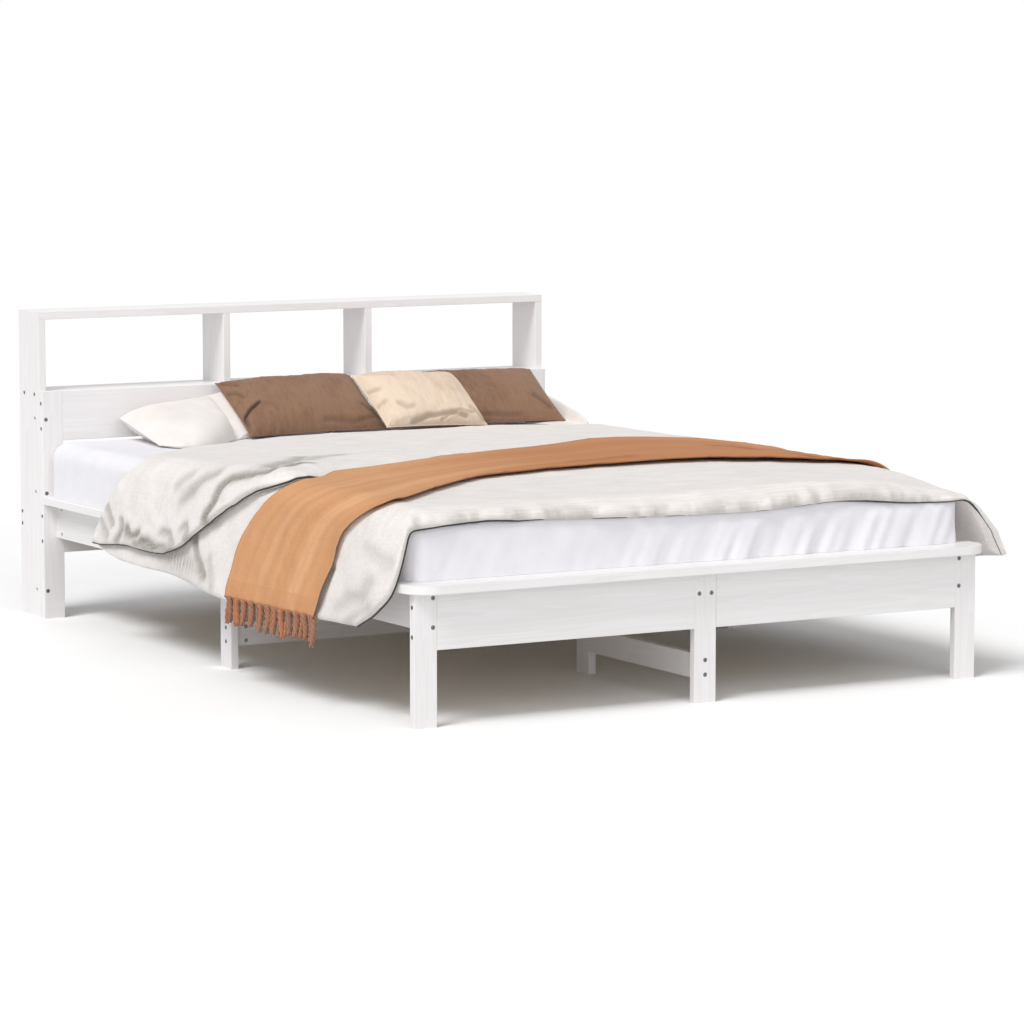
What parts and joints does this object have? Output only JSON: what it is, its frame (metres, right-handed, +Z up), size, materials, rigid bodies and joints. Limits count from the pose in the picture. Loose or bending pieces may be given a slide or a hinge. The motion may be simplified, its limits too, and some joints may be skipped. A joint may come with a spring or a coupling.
{
  "type": "bed",
  "caption": "Low wooden double bed with an open bookcase headboard, ledges round a slatted base, middle legs, and a made-up mattress with duvet, throw and cushions.",
  "frame": {"origin": "Middle of the bed in plan, on the floor", "axes": "+X is to the right seen from the foot, +Y points from the foot to the headboard, +Z is up"},
  "size_m": [1.69, 2.225, 0.805],
  "materials": {
    "frame_paint": "satin white paint over softwood boards with eased edges",
    "bare_wood": "planed, untreated softwood",
    "slat_tape": "flat woven tape",
    "bolt_steel": "zinc plated, satin",
    "nut_steel": "zinc plated, turned",
    "mattress_cover": "knitted mattress cover",
    "sheet_white": "smooth cotton, drawn tight",
    "duvet_cream": "soft woven cotton with fine slubs and a dark piped edge",
    "throw_orange": "fine ribbed wool weave",
    "throw_fringe": "twisted wool yarn",
    "pillow_ivory": "smooth cotton",
    "cushion_brown": "matt velvet weave",
    "cushion_beige": "brushed cotton"
  },
  "bodies": {
    "frame": {"foot_leg_left": "frame_paint", "foot_leg_right": "frame_paint", "foot_leg_center": "frame_paint", "foot_apron": "frame_paint", "foot_ledge": "frame_paint", "side_rail_left": "frame_paint", "side_rail_right": "frame_paint", "side_ledge_left": "frame_paint", "side_ledge_right": "frame_paint", "slat_ledger_left": "bare_wood", "slat_ledger_right": "bare_wood", "mid_leg_left": "frame_paint", "mid_leg_right": "frame_paint", "mid_leg_center": "frame_paint", "cross_stretcher": "frame_paint", "center_leg_front": "frame_paint", "center_leg_rear": "frame_paint", "center_stretcher_front": "frame_paint", "center_stretcher_rear": "frame_paint", "beam_flange": "frame_paint", "beam_web": "frame_paint", "slats": "bare_wood", "slat_tapes": "slat_tape", "head_leg_left": "frame_paint", "head_leg_right": "frame_paint", "head_leg_center": "frame_paint", "head_side_left": "frame_paint", "head_side_right": "frame_paint", "head_top": "frame_paint", "head_shelf": "frame_paint", "head_divider_left": "frame_paint", "head_divider_right": "frame_paint", "head_panel": "frame_paint", "head_lower_rail": "frame_paint", "head_rear_rail": "frame_paint", "joint_bolts": "bolt_steel", "barrel_nuts": "nut_steel", "dowels": "bare_wood"},
    "bedding": {"mattress": "mattress_cover", "fitted_sheet": "sheet_white", "duvet": "duvet_cream", "throw": "throw_orange", "throw_fringe": "throw_fringe", "pillow_left": "pillow_ivory", "pillow_right": "pillow_ivory", "cushion_left": "cushion_brown", "cushion_center": "cushion_beige", "cushion_right": "cushion_brown"}
  },
  "joints": [
    {"name": "bedding_lift", "type": "slide", "parent": "frame", "child": "bedding", "axis": [0, 0, 1], "range_m": [0, 0.65]}
  ]
}
